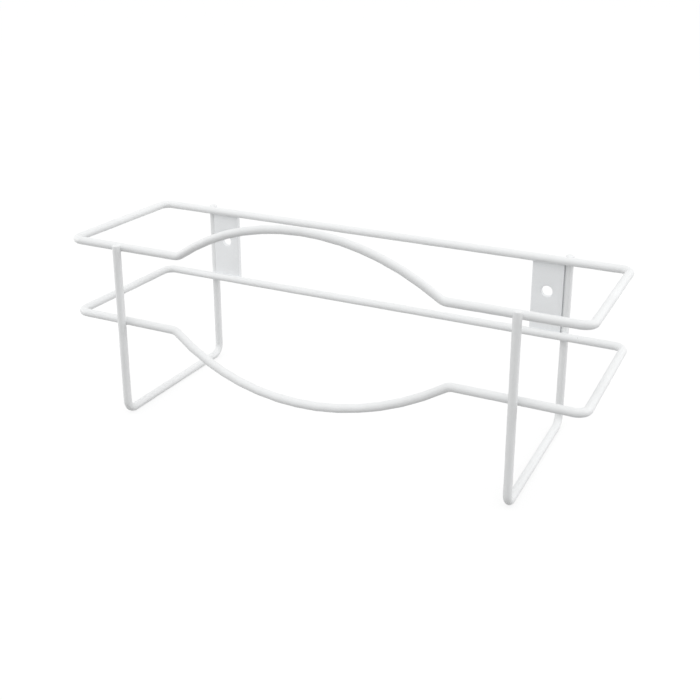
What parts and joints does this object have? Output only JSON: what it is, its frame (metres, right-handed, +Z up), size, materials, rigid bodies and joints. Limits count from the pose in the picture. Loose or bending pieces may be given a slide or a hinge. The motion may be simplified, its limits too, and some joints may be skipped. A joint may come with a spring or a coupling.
{
  "type": "disposable glove dispenser",
  "caption": "Wall-mounted white coated wire holder for a box of disposable gloves, with hoops round the box, an oval hand window in front, leg frames under it and screw plates behind.",
  "frame": {"origin": "midway between the two wall screw holes, on the plates' back faces", "axes": "+X to the right seen from the front, +Y towards the wall, +Z up"},
  "size_m": [0.264, 0.0904, 0.1118],
  "materials": {
    "white_coat": "satin white powder coat"
  },
  "bodies": {
    "root": {"upper_hoop": "white_coat", "lower_hoop": "white_coat", "left_leg_frame": "white_coat", "right_leg_frame": "white_coat", "left_wall_plate": "white_coat", "right_wall_plate": "white_coat"}
  },
  "joints": []
}
